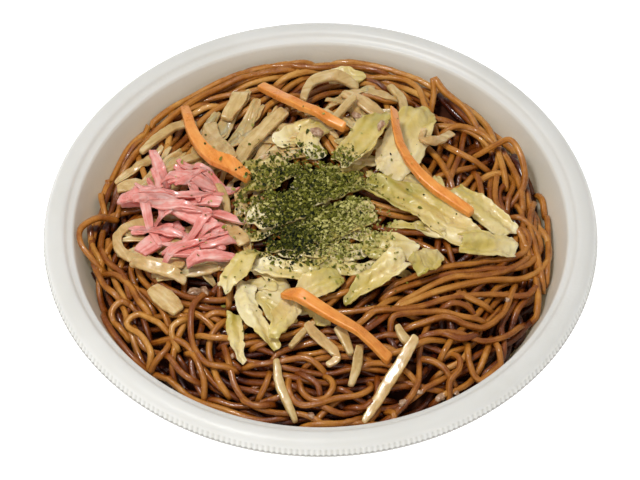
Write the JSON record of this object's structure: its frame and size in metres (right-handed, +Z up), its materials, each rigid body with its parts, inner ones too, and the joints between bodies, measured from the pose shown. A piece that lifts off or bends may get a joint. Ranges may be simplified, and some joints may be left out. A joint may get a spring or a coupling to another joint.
{
  "type": "yakisoba in a foam bowl",
  "caption": "Round white foam bowl heaped with fried noodles, under cabbage, onion, bean sprouts, carrot strips and red pickled ginger.",
  "frame": {"origin": "centre of the bowl's flat underside, on the surface it stands on", "axes": "+Z up along the bowl's axis, -Y towards the eater, +X to the eater's right"},
  "size_m": [0.18, 0.18, 0.0526],
  "materials": {
    "foam": "white foamed polystyrene with a faint skin gloss",
    "noodle": "wheat noodles, glossy with brown sauce",
    "carrot": "cooked carrot, damp",
    "ginger": "red pickled ginger, wet",
    "onion": "fried onion, translucent and oily",
    "sprout": "fried bean sprouts, damp",
    "cabbage": "fried cabbage leaf, damp",
    "cabbage_stalk": "fried cabbage stalk, damp"
  },
  "bodies": {
    "root": {"bowl": "foam", "noodles": "noodle", "cabbage_1": "cabbage", "stalk_1": "cabbage_stalk", "sprout_1": "sprout", "onion_1": "onion", "sprout_2": "sprout", "sprout_3": "sprout", "sprout_4": "sprout", "sprout_5": "sprout", "cabbage_2": "cabbage", "stalk_2": "cabbage_stalk", "stalk_3": "cabbage_stalk", "sprout_6": "sprout", "sprout_7": "sprout", "cabbage_3": "cabbage", "cabbage_4": "cabbage", "cabbage_5": "cabbage", "cabbage_6": "cabbage", "cabbage_7": "cabbage", "cabbage_8": "cabbage", "cabbage_9": "cabbage", "onion_2": "onion", "cabbage_10": "cabbage", "cabbage_11": "cabbage", "cabbage_12": "cabbage", "onion_3": "onion", "onion_4": "onion", "onion_5": "onion", "onion_6": "onion", "ginger_1": "ginger", "ginger_2": "ginger", "ginger_3": "ginger", "ginger_4": "ginger", "ginger_5": "ginger", "ginger_6": "ginger", "ginger_7": "ginger", "ginger_8": "ginger", "onion_7": "onion", "cabbage_13": "cabbage", "cabbage_14": "cabbage", "sprout_8": "sprout", "sprout_9": "sprout", "onion_8": "onion", "sprout_10": "sprout", "sprout_11": "sprout", "sprout_12": "sprout", "onion_9": "onion", "cabbage_15": "cabbage", "cabbage_16": "cabbage", "cabbage_17": "cabbage", "cabbage_18": "cabbage", "cabbage_19": "cabbage", "cabbage_20": "cabbage", "cabbage_21": "cabbage", "carrot_1": "carrot", "carrot_2": "carrot", "carrot_3": "carrot", "carrot_4": "carrot"}
  },
  "joints": []
}
